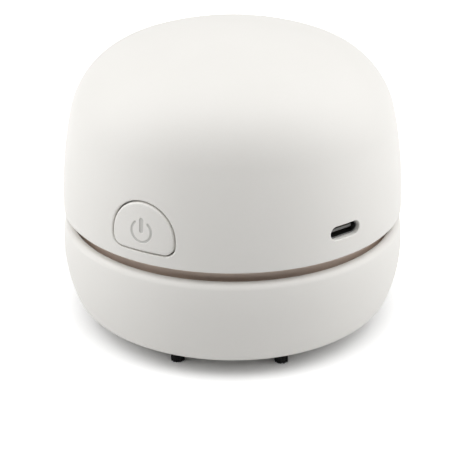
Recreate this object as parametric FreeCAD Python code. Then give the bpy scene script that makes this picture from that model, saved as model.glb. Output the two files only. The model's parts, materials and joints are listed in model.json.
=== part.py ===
import FreeCAD, Part
import math
import os

# Round desktop mini vacuum cleaner. A low dust bowl stands on eight bristle tufts, a domed body
# sits in it by a quarter-turn lock, and the air leaves through the slot between the two.
# Sizes in millimetres, +Z up, origin on the axis at desk level. Azimuths are degrees from the
# front, which is -Y, towards the right, which is +X.

# Outer form
body_radius = 45.0
bowl_step = 0.4
bristle_length = 4.2
bowl_height = 23.9
slot_height = 3.0
overrun = 1.0

# Domed upper shell: flank, shoulder and crown arcs that run into each other without a corner
shell_wall = 2.0
flank_arc_radius = 120.7
flank_arc_angle = 12.64
shoulder_arc_radius = 22.7
shoulder_end_angle = 68.76
shell_lip_round = 0.5
button_hole_round = 0.3
port_edge_round = 0.25
surface_touch = 0.02
screw_azimuths = (-120.0, -60.0, 60.0, 120.0)
screw_ring_inset = 7.5
shell_post_radius = 3.2
battery_rib = 1.5
battery_rib_share = 0.4

# Dust bowl
bowl_wall = 2.2
bowl_side_arc = 38.0
bowl_widest_rise = 16.8
bowl_floor_round = 5.0
bowl_lip_round = 1.9
bowl_lip_width = 2.4
inlet_radius = 12.0
inlet_flare = 1.5
inlet_wall = 1.6
inlet_duct_height = 8.8
dust_wall_inset = 3.5
dust_wall = 1.5
dust_wall_height = 13.8
bowl_rib = 1.2
bowl_rib_height = 9.8
bowl_rib_count = 16

# Bristle tufts
tuft_count = 8
tuft_inset = 3.3
tuft_first_azimuth = -23.9
tuft_radius = 1.75
tuft_depth = 4.0
tuft_splay = 0.15
tuft_fit = 0.05
tuft_boss_wall = 1.5

# Seal that straddles the dust wall
seal_web = 1.2
seal_leg = 0.85
seal_leg_drop = 2.0
seal_fit = 0.15

# Filter
filter_flange = 1.5
filter_wall = 1.4
filter_side_gap = 0.2
filter_basket_drop = 3.0
filter_floor = 1.2
filter_ledge = 2.0
filter_spoke = 1.6
filter_spoke_count = 6
filter_ring_radius = 18.0
filter_hub_radius = 3.2
filter_hub_rise = 0.5
filter_tab_width = 10.0
filter_tab_height = 3.1
filter_tab = 1.4
mesh_thickness = 0.3
media_edge_gap = 0.2
pad_top_gap = 0.2
pad_edge_round = 0.6

# Fan housing
housing_side_gap = 1.5
housing_wall = 1.6
eye_radius = 14.0
eye_plate = 1.5
eye_plate_rise = 2.0
eye_lip_width = 1.4
eye_lip_rise = 0.4
housing_rib = 1.2
housing_rib_height = 1.2
housing_rib_count = 8
exhaust_window_drop = 1.3
exhaust_window_height = 2.4
exhaust_window_count = 24
exhaust_window_share = 0.68
key_width = 4.0
key_drop = 1.1
key_azimuths = (-90.0, 90.0)
key_fit = 0.2

# Quarter-turn lock between the fan housing and the bowl
lock_count = 4
lock_first_azimuth = 0.0
lock_turn = 20.0
lug_width = 14.0
lug_height = 1.5
lug_rise = 2.4
lug_fit = 0.3
ledge_height = 1.5
ledge_lead = 2.0
ledge_stop = 5.0
ledge_fit = 0.4
stop_fit = 0.4

# Motor plate
plate_rise = 2.3
plate_thickness = 1.6
plate_edge_gap = 0.35
notch_fit = 0.3
collar_height = 6.0
collar_wall = 1.25
collar_fit = 0.15
saddle = 1.5
saddle_spacing_share = 0.56
saddle_share = 0.45

# Impeller
impeller_side_gap = 11.9
impeller_plate = 1.2
impeller_top_gap = 2.2
impeller_eye_gap = 1.0
impeller_front_slope = 1.4
blade_count = 11
blade = 1.0
blade_root_radius = 9.0
blade_tip_inset = 0.5
blade_sweep = 42.0
blade_bow = 13.0
hub_nose_radius = 3.4
hub_nose_gap = 0.4
hub_foot_radius = 12.0
hub_collar_rise = 1.2
hub_waist_share = 0.38

# Motor
shaft_radius = 1.0
shaft_fit = 0.04
shaft_nose = 1.0
shaft_tail = 0.6
motor_radius = 12.2
motor_length = 30.8
can_wall = 1.0
can_neck_radius = 3.05
can_neck_drop = 1.8
neck_fit = 0.25
bush_radius = 2.4
bush_length = 3.8
endcap_height = 3.0
endcap_plug = 1.8
endcap_boss_radius = 4.0
endcap_boss_rise = 1.0
magnet_thickness = 2.2
magnet_length = 17.0
magnet_span = 130.0
magnet_rise = 6.0
air_gap = 0.4
core_length = 15.0
core_shoe_share = 0.125
core_shoe_span = 98.0
core_stem = 2.4
core_hub_share = 1 / 3
pole_count = 3
winding = 1.6
winding_overhang = 1.2
commutator_radius = 2.5
commutator_length = 3.6
commutator_gap = 2.0
terminal_offset = 7.0
terminal_width = 2.4
terminal_thickness = 0.5
terminal_height = 3.6
motor_screw_circle = 17.0
motor_screw_radius = 1.2
motor_screw_head_radius = 2.1
motor_screw_head = 1.5
motor_screw_reach = 0.8

# Screws that hold fan housing, motor plate and shell together
screw_radius = 1.3
screw_fit = 0.15
screw_head_radius = 2.25
screw_head = 1.8
screw_head_fit = 0.35
screw_seat_depth = 4.3
screw_bite = 8.0
screw_pilot_extra = 1.5

# Circuit board
board_gap = 0.4
board_thickness = 1.0
board_inset = 6.5
board_collar_gap = 3.4
board_half_angle = 52.0
board_tongue_width = 12.0
board_edge_gap = 1.2
board_screw_azimuths = (-46.0, 8.0)
board_screw_inset = 5.0
board_screw_radius = 1.0
board_screw_head_radius = 1.9
board_screw_head = 1.3
board_screw_length = 5.0
board_post_radius = 2.4
chip_length = 4.9
chip_width = 3.9
chip_height = 1.5
chip_inset = 6.5
chip_azimuth = -8.0
chip_socket_gap = 0.4

# Charging socket
port_azimuth = 38.0
socket_width = 8.94
socket_height = 3.26
socket_length = 7.35
socket_wall = 0.3
socket_recess = 1.5
tongue_width = 6.7
tongue_thickness = 0.7
tongue_length = 4.6
port_fit = 0.13

# Power button
button_azimuth = -29.3
button_width = 17.1
button_height = 12.25
button_rise = 3.4
button_corner = 2.6
button_gap = 0.4
button_edge_round = 0.5
button_proud = 0.15
button_travel = 1.0
button_flange = 0.9
button_flange_reach = 1.4
button_flange_gap = 0.3
button_stem_radius = 2.2
switch_width = 7.0
switch_depth = 6.5
switch_height = 7.8
plunger_radius = 1.6
plunger_reach = 2.4
plunger_fit = 0.05
plunger_end_gap = 0.2
switch_bore_depth = 5.0
stem_length = 1.6

# Battery cell and leads
battery_radius = 7.1
battery_end_gap = 1.494
battery_motor_gap = 2.2
battery_pad = 1.5
battery_pad_share = 0.44
battery_pad_width = 8.0
battery_edge_round = 0.6
battery_nub_radius = 2.75
battery_nub = 0.8
battery_fit = 0.3
tab_thickness = 0.25
tab_width = 4.0
tab_rise = 2.6
solder_gap = 0.12
lead_radius = 0.6
lead_land_offset = 12.0
lead_land_share = 0.372
lead_bow_radius = 21.0
lead_rise = 1.4
motor_lead_forward = 20.0
bend_share = 0.45

# Heights above the desk
floor_z = bristle_length
bowl_lip_z = floor_z + bowl_height
shell_lip_z = bowl_lip_z + slot_height
widest_z = floor_z + bowl_widest_rise
dust_wall_top_z = floor_z + dust_wall_height
flange_z = dust_wall_top_z + seal_web
foot_z = flange_z + filter_flange
eye_z = foot_z + eye_plate_rise
eye_top_z = eye_z + eye_plate
plate_z = shell_lip_z + plate_rise
plate_top_z = plate_z + plate_thickness
board_z = plate_top_z + board_gap
board_top_z = board_z + board_thickness
socket_z = board_top_z + socket_height / 2
button_z = shell_lip_z + button_rise
plunger_z = button_z + button_height / 2
impeller_top_z = plate_z - impeller_top_gap
impeller_disc_z = impeller_top_z - impeller_plate
impeller_front_z = eye_top_z + impeller_eye_gap
can_floor_z = plate_top_z + can_wall
endcap_z = plate_top_z + motor_length - endcap_height
endcap_top_z = plate_top_z + motor_length
magnet_z = plate_top_z + magnet_rise
core_z = magnet_z + (magnet_length - core_length) / 2
battery_z = plate_top_z + battery_pad + battery_radius
battery_y = motor_radius + battery_motor_gap + battery_radius

# Radii and places that several pieces share
shell_bore_radius = body_radius - shell_wall
bowl_radius = body_radius + bowl_step
bowl_bore_radius = bowl_radius - bowl_lip_width
housing_radius = bowl_bore_radius - housing_side_gap
housing_bore_radius = housing_radius - housing_wall
dust_wall_radius = housing_radius - dust_wall_inset
tuft_ring_radius = dust_wall_radius - tuft_inset
impeller_radius = housing_bore_radius - impeller_side_gap
can_bore_radius = motor_radius - can_wall
magnet_bore_radius = can_bore_radius - magnet_thickness
core_radius = magnet_bore_radius - air_gap
core_hub_radius = core_hub_share * magnet_bore_radius
core_shoe = core_shoe_share * can_bore_radius
collar_radius = motor_radius + collar_fit + collar_wall
screw_ring_radius = shell_bore_radius - screw_ring_inset
rear_post_x = screw_ring_radius * math.sin(math.radians(max(screw_azimuths))) - shell_post_radius
battery_length = 2 * (rear_post_x - battery_end_gap - battery_nub - tab_thickness)
saddle_spacing = saddle_spacing_share * battery_length
battery_rib_spacing = battery_rib_share * battery_length
battery_pad_length = battery_pad_share * battery_length
board_radius = body_radius - board_inset
board_inner_radius = collar_radius + board_collar_gap
board_screw_ring = board_radius - board_screw_inset
chip_ring = board_radius - chip_inset
chip_step = (socket_width + chip_length) / 2 + chip_socket_gap
chip_azimuths = (chip_azimuth, port_azimuth - math.degrees(chip_step / chip_ring))
lead_land_ring = board_inner_radius + lead_land_share * (board_radius - board_inner_radius)
basket_radius = dust_wall_radius - seal_fit - seal_leg - filter_side_gap
media_radius = basket_radius - filter_wall - media_edge_gap
plunger_tip_w = body_radius - shell_wall - button_flange_gap - button_flange - stem_length
switch_face_w = plunger_tip_w - plunger_reach

ORIGIN = FreeCAD.Vector(0, 0, 0)
X_AXIS = FreeCAD.Vector(1, 0, 0)
Z_AXIS = FreeCAD.Vector(0, 0, 1)
FULL_TURN = 360
QUARTER_TURN = 90


def at(r, z):
    """A point of a section drawn in the plane of the axis."""
    return FreeCAD.Vector(r, 0, z)


def on_arc(centre, radius, degrees):
    """The section point on a circle, the angle counted from outwards to upwards."""
    angle = math.radians(degrees)
    return centre + at(radius * math.cos(angle), radius * math.sin(angle))


def section_arc(centre, radius, start, end):
    middle = (start + end) / 2
    points = [on_arc(centre, radius, angle) for angle in (start, middle, end)]
    return Part.Arc(*points).toShape()


def lines(points):
    """Straight edges from point to point."""
    return [Part.makeLine(a, b) for a, b in zip(points, points[1:]) if (a - b).Length > 0]


def spin(edges, degrees=FULL_TURN):
    """Turn a closed section about the axis."""
    face = Part.Face(Part.Wire(Part.__sortEdges__(edges)))
    return face.revolve(ORIGIN, Z_AXIS, degrees)


def spin_outline(pairs, degrees=FULL_TURN):
    """Turn a straight-sided section, given as radius and height pairs."""
    points = [at(r, z) for r, z in pairs]
    return spin(lines(points + points[:1]), degrees)


def disc(radius, low, high):
    return Part.makeCylinder(radius, high - low, FreeCAD.Vector(0, 0, low))


def ring(inner, outer, low, high):
    return spin_outline([(inner, low), (outer, low), (outer, high), (inner, high)])


def sector(inner, outer, low, high, start, end):
    """A piece of a ring from one azimuth to another."""
    piece = spin_outline([(inner, low), (outer, low), (outer, high), (inner, high)], end - start)
    return turned(piece, start - QUARTER_TURN)


def block(x_span, y_span, z_span):
    corner = FreeCAD.Vector(x_span[0], y_span[0], z_span[0])
    sizes = [span[1] - span[0] for span in (x_span, y_span, z_span)]
    return Part.makeBox(*sizes, corner)


def turned(shape, degrees):
    copy = shape.copy()
    copy.rotate(ORIGIN, Z_AXIS, degrees)
    return copy


def moved(shape, x, y, z):
    copy = shape.copy()
    copy.translate(FreeCAD.Vector(x, y, z))
    return copy


def facing(shape, azimuth):
    """Stand a shape drawn as (across, up, out) on the side of the body at an azimuth."""
    copy = shape.copy()
    copy.rotate(ORIGIN, X_AXIS, QUARTER_TURN)
    copy.rotate(ORIGIN, Z_AXIS, azimuth)
    return copy


def around(shape, azimuths):
    return [turned(shape, azimuth) for azimuth in azimuths]


def evenly(count, first=0.0):
    return [first + FULL_TURN * k / count for k in range(count)]


def front_post(radius, ring_radius, low, high):
    """An upright cylinder on the front radius, ready to be turned to an azimuth."""
    return Part.makeCylinder(radius, high - low, FreeCAD.Vector(0, -ring_radius, low))


def join(shapes):
    first, rest = shapes[0], shapes[1:]
    return first.multiFuse(rest).removeSplitter() if rest else first


def cut_all(shape, tools):
    return shape.cut(tools) if tools else shape


def group(shapes):
    return Part.makeCompound(shapes)


def rounded(shape, radius, chosen):
    """Round the edges that a test picks."""
    edges = [edge for edge in shape.Edges if chosen(edge)]
    return shape.makeFillet(radius, edges)


def same(a, b):
    return abs(a - b) < body_radius / 1e5


def circle_at(z, radius):
    """A test for the full circle of one radius at one height."""
    def chosen(edge):
        box = edge.BoundBox
        level = same(box.ZMin, z) and same(box.ZMax, z)
        return level and isinstance(edge.Curve, Part.Circle) and same(edge.Curve.Radius, radius)
    return chosen


def on_flank(point, azimuth, reach, inset):
    """Whether a point lies on the dome's flank, drawn in by an inset, near an azimuth."""
    across = turned(Part.Vertex(point), -azimuth).Point
    rise = point.z - shell_lip_z
    radius = body_radius - flank_arc_radius + math.sqrt((flank_arc_radius - inset) ** 2 - rise ** 2)
    near = across.y < 0 and abs(across.x) < reach and rise > shell_lip_round
    return near and abs(math.hypot(across.x, across.y) - radius) < surface_touch


def opening_edge(azimuth, reach, inset):
    """A test for an edge round an opening in the dome's flank."""
    def chosen(edge):
        span = edge.LastParameter - edge.FirstParameter
        points = [edge.valueAt(edge.FirstParameter + span * share) for share in (0, 0.5, 1)]
        return all(on_flank(point, azimuth, reach, inset) for point in points)
    return chosen


def dome_solid(inset, drop=0.0):
    """The domed body drawn in by an inset, open downwards by a drop below the lip."""
    flank = at(body_radius - flank_arc_radius, shell_lip_z)
    flank_radius = flank_arc_radius - inset
    shoulder = on_arc(flank, flank_arc_radius - shoulder_arc_radius, flank_arc_angle)
    shoulder_radius = shoulder_arc_radius - inset
    crown_extra = shoulder.x / math.cos(math.radians(shoulder_end_angle))
    crown = on_arc(shoulder, -crown_extra, shoulder_end_angle)
    crown_radius = shoulder_radius + crown_extra
    foot = on_arc(flank, flank_radius, 0)
    apex = on_arc(crown, crown_radius, QUARTER_TURN)
    low = at(foot.x, shell_lip_z - drop)
    edges = lines([apex, at(0, low.z), low, foot])
    edges.append(section_arc(flank, flank_radius, 0, flank_arc_angle))
    edges.append(section_arc(shoulder, shoulder_radius, flank_arc_angle, shoulder_end_angle))
    edges.append(section_arc(crown, crown_radius, shoulder_end_angle, QUARTER_TURN))
    return spin(edges)


def bowl_centres():
    """Centres of the bowl's side, floor and lip arcs."""
    side = at(bowl_radius - bowl_side_arc, widest_z)
    centres = [side]
    for round_off, z in ((bowl_floor_round, floor_z + bowl_floor_round),
                         (bowl_lip_round, bowl_lip_z - bowl_lip_round)):
        reach = bowl_side_arc - round_off
        centres.append(at(side.x + math.sqrt(reach ** 2 - (z - side.z) ** 2), z))
    return centres


def direction(start, end):
    return math.degrees(math.atan2(end.z - start.z, end.x - start.x))


def bowl_outside():
    side, low, high = bowl_centres()
    low_angle = direction(side, low)
    high_angle = direction(side, high)
    edges = [section_arc(low, bowl_floor_round, -QUARTER_TURN, low_angle),
             section_arc(side, bowl_side_arc, low_angle, high_angle),
             section_arc(high, bowl_lip_round, high_angle, QUARTER_TURN)]
    top = on_arc(high, bowl_lip_round, QUARTER_TURN)
    bottom = on_arc(low, bowl_floor_round, -QUARTER_TURN)
    edges += lines([top, at(0, top.z), at(0, bottom.z), bottom])
    return spin(edges)


def bowl_inside(inset):
    """The bowl's form drawn in by an inset, with a straight bore at the lip."""
    side, low, _ = bowl_centres()
    low_angle = direction(side, low)
    inner_arc = bowl_side_arc - inset
    inner_round = bowl_floor_round - inset
    edges = [section_arc(low, inner_round, -QUARTER_TURN, low_angle),
             section_arc(side, inner_arc, low_angle, 0)]
    top = on_arc(side, inner_arc, 0)
    bottom = on_arc(low, inner_round, -QUARTER_TURN)
    edges += lines([top, at(0, top.z), at(0, bottom.z), bottom])
    bore = disc(bowl_bore_radius, widest_z, bowl_lip_z + overrun)
    return spin(edges).fuse(bore)


def lock_ledges():
    """Ledges on the bowl's bore, each with a stop, that the housing's lugs turn under."""
    outer = bowl_bore_radius + bowl_wall / 2
    inner = housing_radius + ledge_fit
    lug_top = foot_z + lug_rise + lug_height
    ledge_z = lug_top + lug_fit
    pieces = []
    for azimuth in evenly(lock_count, lock_first_azimuth):
        near = azimuth - lug_width / 2 - ledge_lead
        far = azimuth - lug_width / 2 - lock_turn - stop_angle()
        end = far - ledge_stop
        pieces.append(sector(inner, outer, ledge_z, ledge_z + ledge_height, end, near))
        pieces.append(sector(inner, outer, ledge_z - lug_height, ledge_z + ledge_height, end, far))
    return pieces


def stop_angle():
    return math.degrees(stop_fit / housing_radius)


def tuft_bosses():
    z_top = floor_z + tuft_depth + tuft_boss_wall
    boss = front_post(tuft_radius + tuft_boss_wall, tuft_ring_radius, floor_z + bowl_wall / 2, z_top)
    return around(boss, evenly(tuft_count, tuft_first_azimuth))


def tuft_holes():
    hole = front_post(tuft_radius + tuft_fit, tuft_ring_radius, floor_z - overrun, floor_z + tuft_depth)
    return around(hole, evenly(tuft_count, tuft_first_azimuth))


def bowl_ribs():
    """Ribs between the dust wall and the outer wall, all below the seal."""
    rib = block((-bowl_rib / 2, bowl_rib / 2),
                (-bowl_radius, -dust_wall_radius - dust_wall / 2),
                (floor_z, floor_z + bowl_rib_height))
    return [rib.common(bowl_inside(bowl_wall / 2)) for rib in around(rib, evenly(bowl_rib_count))]


def base_shell():
    shell = bowl_outside().cut(bowl_inside(bowl_wall))
    inner_floor = floor_z + bowl_wall / 2
    duct = ring(inlet_radius, inlet_radius + inlet_wall, inner_floor, floor_z + inlet_duct_height)
    dust_ring = ring(dust_wall_radius, dust_wall_radius + dust_wall, inner_floor, dust_wall_top_z)
    shell = join([shell, duct, dust_ring] + tuft_bosses() + lock_ledges() + bowl_ribs())
    flare = Part.makeCone(inlet_radius + inlet_flare, inlet_radius, inlet_flare, at(0, floor_z))
    inlet = disc(inlet_radius, floor_z - overrun, floor_z + inlet_duct_height + overrun)
    return cut_all(shell, [inlet, flare] + tuft_holes())


def bristle_tuft(azimuth):
    """A bundle of nylon bristles, held in its hole and splayed a little at the desk."""
    tip = tuft_radius + tuft_splay
    bundle = spin_outline([(0, 0), (tip, 0), (tuft_radius, floor_z),
                           (tuft_radius, floor_z + tuft_depth), (0, floor_z + tuft_depth)])
    return turned(moved(bundle, 0, -tuft_ring_radius, 0), azimuth)


def filter_seal():
    inner = dust_wall_radius - seal_fit
    outer = dust_wall_radius + dust_wall + seal_fit
    low = dust_wall_top_z - seal_leg_drop
    return spin_outline([(inner - seal_leg, low), (inner, low), (inner, dust_wall_top_z),
                         (outer, dust_wall_top_z), (outer, low), (outer + seal_leg, low),
                         (outer + seal_leg, flange_z), (inner - seal_leg, flange_z)])


def key(grow):
    """A tongue under the housing's foot, or with a fit, its slot in the filter's flange."""
    half = key_width / 2 + grow
    tongue = block((-half, half),
                   (-housing_radius - grow, -housing_bore_radius + grow),
                   (foot_z - key_drop - grow, foot_z + housing_wall))
    return tongue.common(disc(housing_radius + grow, 0, shell_lip_z))


def filter_frame():
    low = flange_z - filter_basket_drop
    inner = basket_radius - filter_wall
    floor_top = low + filter_floor
    rim = spin_outline([(inner - filter_ledge, low), (basket_radius, low), (basket_radius, flange_z),
                        (housing_radius, flange_z), (housing_radius, foot_z), (inner, foot_z),
                        (inner, floor_top), (inner - filter_ledge, floor_top)])
    hub_top = foot_z + filter_hub_rise
    hub = disc(filter_hub_radius, low, hub_top)
    middle = ring(filter_ring_radius, filter_ring_radius + filter_spoke, low, floor_top)
    spoke = block((-filter_spoke / 2, filter_spoke / 2), (-inner, 0), (low, floor_top))
    spokes = around(spoke, evenly(filter_spoke_count))
    slots = around(key(key_fit), key_azimuths)
    return cut_all(join([rim, hub, middle, filter_tab_plate(hub_top)] + spokes), slots)


def filter_tab_plate(hub_top):
    """The finger tab on the hub, with its two upper corners rounded."""
    half = filter_tab_width / 2
    plate = block((-half, half), (-filter_tab / 2, filter_tab / 2),
                  (hub_top, hub_top + filter_tab_height))
    top_edges = [edge for edge in plate.Edges
                 if same(edge.BoundBox.ZMin, hub_top + filter_tab_height)
                 and same(edge.Length, filter_tab)]
    return plate.makeFillet(filter_tab, top_edges)


def filter_mesh():
    low = flange_z - filter_basket_drop + filter_floor
    return ring(filter_hub_radius + media_edge_gap, media_radius, low, low + mesh_thickness)


def filter_pad():
    low = flange_z - filter_basket_drop + filter_floor + mesh_thickness
    high = foot_z - pad_top_gap
    pad = ring(filter_hub_radius + media_edge_gap, media_radius, low, high)
    return rounded(pad, pad_edge_round, circle_at(high, media_radius))


def housing_lugs():
    low = foot_z + lug_rise
    inner = housing_radius - housing_wall / 2
    outer = bowl_bore_radius - lug_fit
    return [sector(inner, outer, low, low + lug_height, azimuth - lug_width / 2, azimuth + lug_width / 2)
            for azimuth in evenly(lock_count, lock_first_azimuth)]


def exhaust_windows():
    """Openings behind the upper shell's lip that let the air out to the slot."""
    low = shell_lip_z - exhaust_window_drop
    pitch = FULL_TURN / exhaust_window_count
    half = pitch * exhaust_window_share / 2
    return [sector(housing_bore_radius - overrun, housing_radius + overrun,
                   low, low + exhaust_window_height, azimuth - half, azimuth + half)
            for azimuth in evenly(exhaust_window_count, pitch / 2)]


def fan_housing():
    skirt = ring(housing_bore_radius, housing_radius, foot_z, plate_z)
    eye_ring = ring(eye_radius, housing_bore_radius + housing_wall / 2, eye_z, eye_top_z)
    lip = ring(eye_radius, eye_radius + eye_lip_width, eye_z, eye_top_z + eye_lip_rise)
    post_radius = screw_head_radius + screw_head_fit + housing_wall / 2
    post = front_post(post_radius, screw_ring_radius, eye_z, plate_z)
    rib = block((-housing_rib / 2, housing_rib / 2),
                (-housing_bore_radius - housing_wall / 2, -eye_radius - eye_lip_width),
                (eye_z - housing_rib_height, eye_top_z))
    ribs = around(rib, evenly(housing_rib_count))
    keys = around(key(0), key_azimuths)
    body = join([skirt, eye_ring, lip] + around(post, screw_azimuths) + ribs + housing_lugs() + keys)
    seat = front_post(screw_head_radius + screw_head_fit, screw_ring_radius,
                      eye_z - overrun, eye_z + screw_seat_depth)
    hole = front_post(screw_radius + screw_fit, screw_ring_radius, eye_z, plate_z + overrun)
    cuts = around(seat, screw_azimuths) + around(hole, screw_azimuths) + exhaust_windows()
    return cut_all(body, cuts)


def polar(radius, degrees, z):
    angle = math.radians(degrees)
    return FreeCAD.Vector(radius * math.cos(angle), radius * math.sin(angle), z)


def blade_solid():
    """One backward-curved blade: two arcs closed at the root and the tip."""
    tip_radius = impeller_radius - blade_tip_inset
    middle_radius = (blade_root_radius + tip_radius) / 2
    stations = ((blade_root_radius, 0.0), (middle_radius, blade_sweep / 2 - blade_bow / 2),
                (tip_radius, blade_sweep))
    sides = []
    for sign in (-1, 1):
        points = [polar(r, angle + sign * math.degrees(blade / 2 / r), impeller_front_z)
                  for r, angle in stations]
        sides.append(points)
    front, back = sides
    edges = [Part.Arc(*front).toShape(), Part.Arc(*back).toShape()]
    edges += [Part.makeLine(front[0], back[0]), Part.makeLine(front[-1], back[-1])]
    face = Part.Face(Part.Wire(Part.__sortEdges__(edges)))
    return face.extrude(Z_AXIS * (impeller_disc_z + impeller_plate / 2 - impeller_front_z))


def impeller():
    envelope = spin_outline([(0, impeller_front_z), (eye_radius, impeller_front_z),
                             (impeller_radius, impeller_front_z + impeller_front_slope),
                             (impeller_radius, impeller_top_z), (0, impeller_top_z)])
    shaped = blade_solid().common(envelope)
    blades = around(shaped, evenly(blade_count))
    nose_z = impeller_front_z + hub_nose_gap
    collar_z = impeller_top_z + hub_collar_rise
    nose = at(hub_nose_radius, nose_z)
    foot = at(hub_foot_radius, impeller_disc_z)
    waist = at(hub_nose_radius + (hub_foot_radius - hub_nose_radius) * hub_waist_share,
               impeller_disc_z - (impeller_disc_z - nose_z) * hub_waist_share)
    edges = [Part.Arc(nose, waist, foot).toShape()]
    edges += lines([foot, at(impeller_radius, impeller_disc_z), at(impeller_radius, impeller_top_z),
                    at(hub_nose_radius, impeller_top_z), at(hub_nose_radius, collar_z),
                    at(0, collar_z), at(0, nose_z), nose])
    bore = disc(shaft_radius, nose_z - overrun, collar_z + overrun)
    return join([spin(edges)] + blades).cut(bore)


def motor_shaft():
    low = impeller_front_z + hub_nose_gap + shaft_nose
    return disc(shaft_radius, low, endcap_top_z + endcap_boss_rise + shaft_tail)


def motor_core():
    """Three-pole armature core: hub, stems and pole shoes."""
    high = core_z + core_length
    pieces = [disc(core_hub_radius, core_z, high)]
    stem = block((-core_stem / 2, core_stem / 2), (-core_radius + core_shoe / 2, 0), (core_z, high))
    shoe = sector(core_radius - core_shoe, core_radius, core_z, high,
                  -core_shoe_span / 2, core_shoe_span / 2)
    for azimuth in evenly(pole_count):
        pieces += [turned(stem, azimuth), turned(shoe, azimuth)]
    brush_z = high + commutator_gap
    commutator = disc(commutator_radius, brush_z, brush_z + commutator_length)
    neck = disc(commutator_radius - shaft_radius / 2, high, brush_z)
    return join(pieces + [commutator, neck]).cut(disc(shaft_radius, 0, endcap_top_z))


def motor_windings():
    """A coil round each stem of the core."""
    near = core_hub_radius + winding / 2
    far = core_radius - core_shoe - winding / 2
    half = core_stem / 2
    low = core_z
    high = core_z + core_length
    outer = block((-half - winding, half + winding), (-far, -near),
                  (low - winding_overhang, high + winding_overhang))
    inner = block((-half, half), (-far - overrun, -near + overrun), (low, high))
    return group(around(outer.cut(inner), evenly(pole_count)))


def motor_magnets():
    arc = sector(magnet_bore_radius, can_bore_radius, magnet_z, magnet_z + magnet_length,
                 -magnet_span / 2, magnet_span / 2)
    return group(around(arc, (-QUARTER_TURN, QUARTER_TURN)))


def motor_screw_places(radius, low, high):
    post = front_post(radius, motor_screw_circle / 2, low, high)
    return around(post, (0, FULL_TURN / 2))


def motor_can():
    cup = disc(motor_radius, plate_top_z, endcap_z)
    neck = disc(can_neck_radius, plate_top_z - can_neck_drop, plate_top_z + can_wall / 2)
    hollow = disc(can_bore_radius, can_floor_z, endcap_z + overrun)
    bore = disc(bush_radius, plate_top_z - can_neck_drop - overrun, can_floor_z + overrun)
    return cut_all(cup.fuse(neck), [hollow, bore] + motor_screw_places(motor_screw_radius, 0, endcap_z))


def motor_bushes():
    front_z = plate_top_z - can_neck_drop
    rear_z = endcap_top_z + endcap_boss_rise - bush_length
    return group([ring(shaft_radius + shaft_fit, bush_radius, z, z + bush_length)
                  for z in (front_z, rear_z)])


def motor_endcap():
    cover = disc(motor_radius, endcap_z, endcap_top_z)
    plug = disc(can_bore_radius - collar_fit, endcap_z - endcap_plug, endcap_z)
    boss = disc(endcap_boss_radius, endcap_top_z, endcap_top_z + endcap_boss_rise)
    clear = disc(commutator_radius + winding, endcap_z - endcap_plug - overrun, endcap_z)
    bore = disc(bush_radius, 0, endcap_top_z + endcap_boss_rise + overrun)
    return join([cover, plug, boss]).cut([clear, bore])


def motor_terminals():
    tab = block((-terminal_thickness / 2, terminal_thickness / 2),
                (-terminal_width / 2, terminal_width / 2),
                (endcap_top_z, endcap_top_z + terminal_height))
    return group([moved(tab, x, 0, 0) for x in (-terminal_offset, terminal_offset)])


def screw_solid(radius, head_radius, head, ring_radius, seat_z, tip_z):
    """A screw on the front radius, driven upwards, its head below the seat."""
    shank = front_post(radius, ring_radius, seat_z - head / 2, tip_z)
    cap = front_post(head_radius, ring_radius, seat_z - head, seat_z)
    cap = cap.makeFillet(head / 3, [edge for edge in cap.Edges if same(edge.BoundBox.ZMax, seat_z - head)])
    return shank.fuse(cap).removeSplitter()


def motor_screws():
    screw = screw_solid(motor_screw_radius, motor_screw_head_radius, motor_screw_head,
                        motor_screw_circle / 2, plate_z, can_floor_z + motor_screw_reach)
    return group(around(screw, (0, FULL_TURN / 2)))


def housing_screws():
    screw = screw_solid(screw_radius, screw_head_radius, screw_head, screw_ring_radius,
                        eye_z + screw_seat_depth, plate_top_z + screw_bite)
    return group(around(screw, screw_azimuths))


def battery_solid(radius, length):
    """A cylinder lying across the body at the battery's place."""
    return Part.makeCylinder(radius, length, FreeCAD.Vector(-length / 2, battery_y, battery_z), X_AXIS)


def battery_saddles():
    height = battery_z - plate_top_z - battery_radius * saddle_share
    half = battery_radius + saddle
    saddle_block = block((-saddle / 2, saddle / 2), (battery_y - half, battery_y + half),
                         (plate_z + plate_thickness / 2, plate_top_z + height))
    nest = battery_solid(battery_radius + battery_fit / 2, battery_length)
    return [moved(saddle_block, x, 0, 0).cut(nest) for x in (-saddle_spacing / 2, saddle_spacing / 2)]


def board_posts(radius, low, high):
    post = front_post(radius, board_screw_ring, low, high)
    return around(post, board_screw_azimuths)


def motor_plate():
    """The plate that closes the fan chamber and carries motor, board and battery."""
    plate = disc(shell_bore_radius - plate_edge_gap, plate_z, plate_top_z)
    collar = ring(motor_radius + collar_fit, collar_radius, plate_z + plate_thickness / 2,
                  plate_top_z + collar_height)
    posts = board_posts(board_post_radius, board_top_z - board_thickness - board_screw_length, board_z)
    body = join([plate, collar] + posts + battery_saddles())
    press_w = shell_bore_radius - button_flange_gap - button_travel
    half = button_width / 2
    notch_w = math.sqrt(press_w ** 2 - half ** 2) - notch_fit
    notch = block((-body_radius, body_radius), (plate_z - overrun, board_z), (notch_w, body_radius))
    neck_hole = disc(can_neck_radius + neck_fit, plate_z - overrun, plate_top_z + overrun)
    holes = around(front_post(screw_radius + screw_fit, screw_ring_radius, plate_z - overrun, board_z),
                   screw_azimuths)
    holes += motor_screw_places(motor_screw_radius + screw_fit, plate_z - overrun, board_z)
    holes += board_posts(board_screw_radius, board_top_z - board_screw_length, board_z + overrun)
    return cut_all(body, [neck_hole, facing(notch, button_azimuth)] + holes)


def board_tongue():
    """The part of the board that runs out under the charging socket."""
    half = board_tongue_width / 2
    out = socket_mouth_w() - board_edge_gap
    return facing(block((-half, half), (board_z, board_top_z), (board_radius - board_inset, out)),
                  port_azimuth)


def socket_mouth_w():
    return body_radius - socket_recess


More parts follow.
